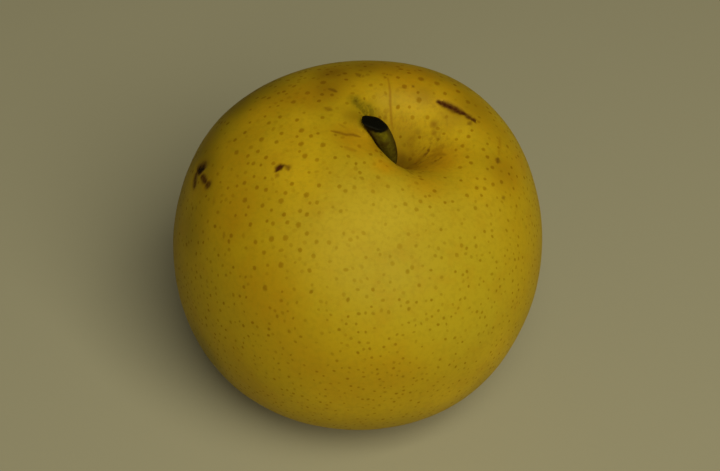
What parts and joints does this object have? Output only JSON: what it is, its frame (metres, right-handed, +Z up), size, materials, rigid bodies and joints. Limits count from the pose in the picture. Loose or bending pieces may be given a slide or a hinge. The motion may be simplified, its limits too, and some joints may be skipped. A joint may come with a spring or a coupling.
{
  "type": "nashi pear",
  "caption": "Whole round nashi pear with a deep stem cavity, a short cut stalk and a small flat spot to rest on, lying slightly tilted.",
  "frame": {"origin": "centre of the small flat spot that the fruit rests on", "axes": "+Z up; +X towards the side that the stalk end leans to; the picture looks along +Y, downwards"},
  "size_m": [0.0891, 0.0892, 0.0772],
  "materials": {
    "pear_skin": "waxy satin skin, golden yellow with small brown lenticels",
    "stalk_wood": "dry olive-brown bark, nearly black at the cut end"
  },
  "bodies": {
    "root": {"fruit": "pear_skin", "stalk": "stalk_wood"}
  },
  "joints": []
}
